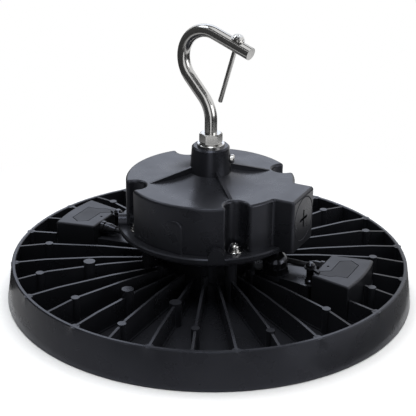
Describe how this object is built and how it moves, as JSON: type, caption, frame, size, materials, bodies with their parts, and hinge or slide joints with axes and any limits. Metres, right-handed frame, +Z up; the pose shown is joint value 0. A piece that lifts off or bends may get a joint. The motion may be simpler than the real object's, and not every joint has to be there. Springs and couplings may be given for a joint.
{
  "type": "high bay light",
  "caption": "Round high bay light: finned die-cast disc, driver housing on a hub, side control boxes and a steel hanging hook with a safety pin.",
  "frame": {"origin": "on the disc's axis, at the plane that the rim stands on", "axes": "+Z up the axis towards the hook, +X through the conduit box"},
  "size_m": [0.33, 0.33, 0.2215],
  "materials": {
    "cast_black": "satin black powder coat on die-cast aluminium",
    "bright_steel": "polished stainless steel",
    "box_black": "satin black moulded plastic",
    "port_black": "soft satin black",
    "gloss_black": "glossy black nylon",
    "lead_black": "black rubber sheath",
    "seal_rubber": "dark silicone",
    "ring_black": "satin black",
    "clear_lens": "clear moulded polycarbonate",
    "white_board": "white solder mask on an aluminium board",
    "led_yellow": "phosphor yellow",
    "green_board": "green circuit board",
    "inner_parts": "dark component casing"
  },
  "bodies": {
    "root": {"base_screws": "bright_steel", "capacitors": "inner_parts", "choke": "inner_parts", "conduit_plug": "cast_black", "cover_gasket": "seal_rubber", "cover_screws": "bright_steel", "cover_spring_washers": "bright_steel", "cover_washers": "bright_steel", "driver_base": "cast_black", "driver_board": "green_board", "driver_cover": "cast_black", "heatsink": "cast_black", "hook": "bright_steel", "hook_nut": "bright_steel", "hook_washer": "bright_steel", "led_board": "white_board", "leds": "led_yellow", "left_box": "box_black", "left_control_board": "green_board", "left_gland": "gloss_black", "left_grommet": "lead_black", "left_lead": "lead_black", "left_port_cover": "port_black", "left_tether_anchor": "gloss_black", "lens_gasket": "seal_rubber", "lens_plate": "clear_lens", "lens_ring": "ring_black", "lock_screw": "bright_steel", "output_cable": "lead_black", "output_gland": "gloss_black", "plug_seal": "seal_rubber", "right_box": "box_black", "right_control_board": "green_board", "right_gland": "gloss_black", "right_grommet": "lead_black", "right_lead": "lead_black", "right_port_cover": "port_black", "right_tether_anchor": "gloss_black", "ring_screws": "bright_steel", "safety_pin": "bright_steel", "safety_pin_washer": "bright_steel", "terminal_block": "inner_parts", "transformer_core": "inner_parts", "transformer_winding": "inner_parts"}
  },
  "joints": []
}
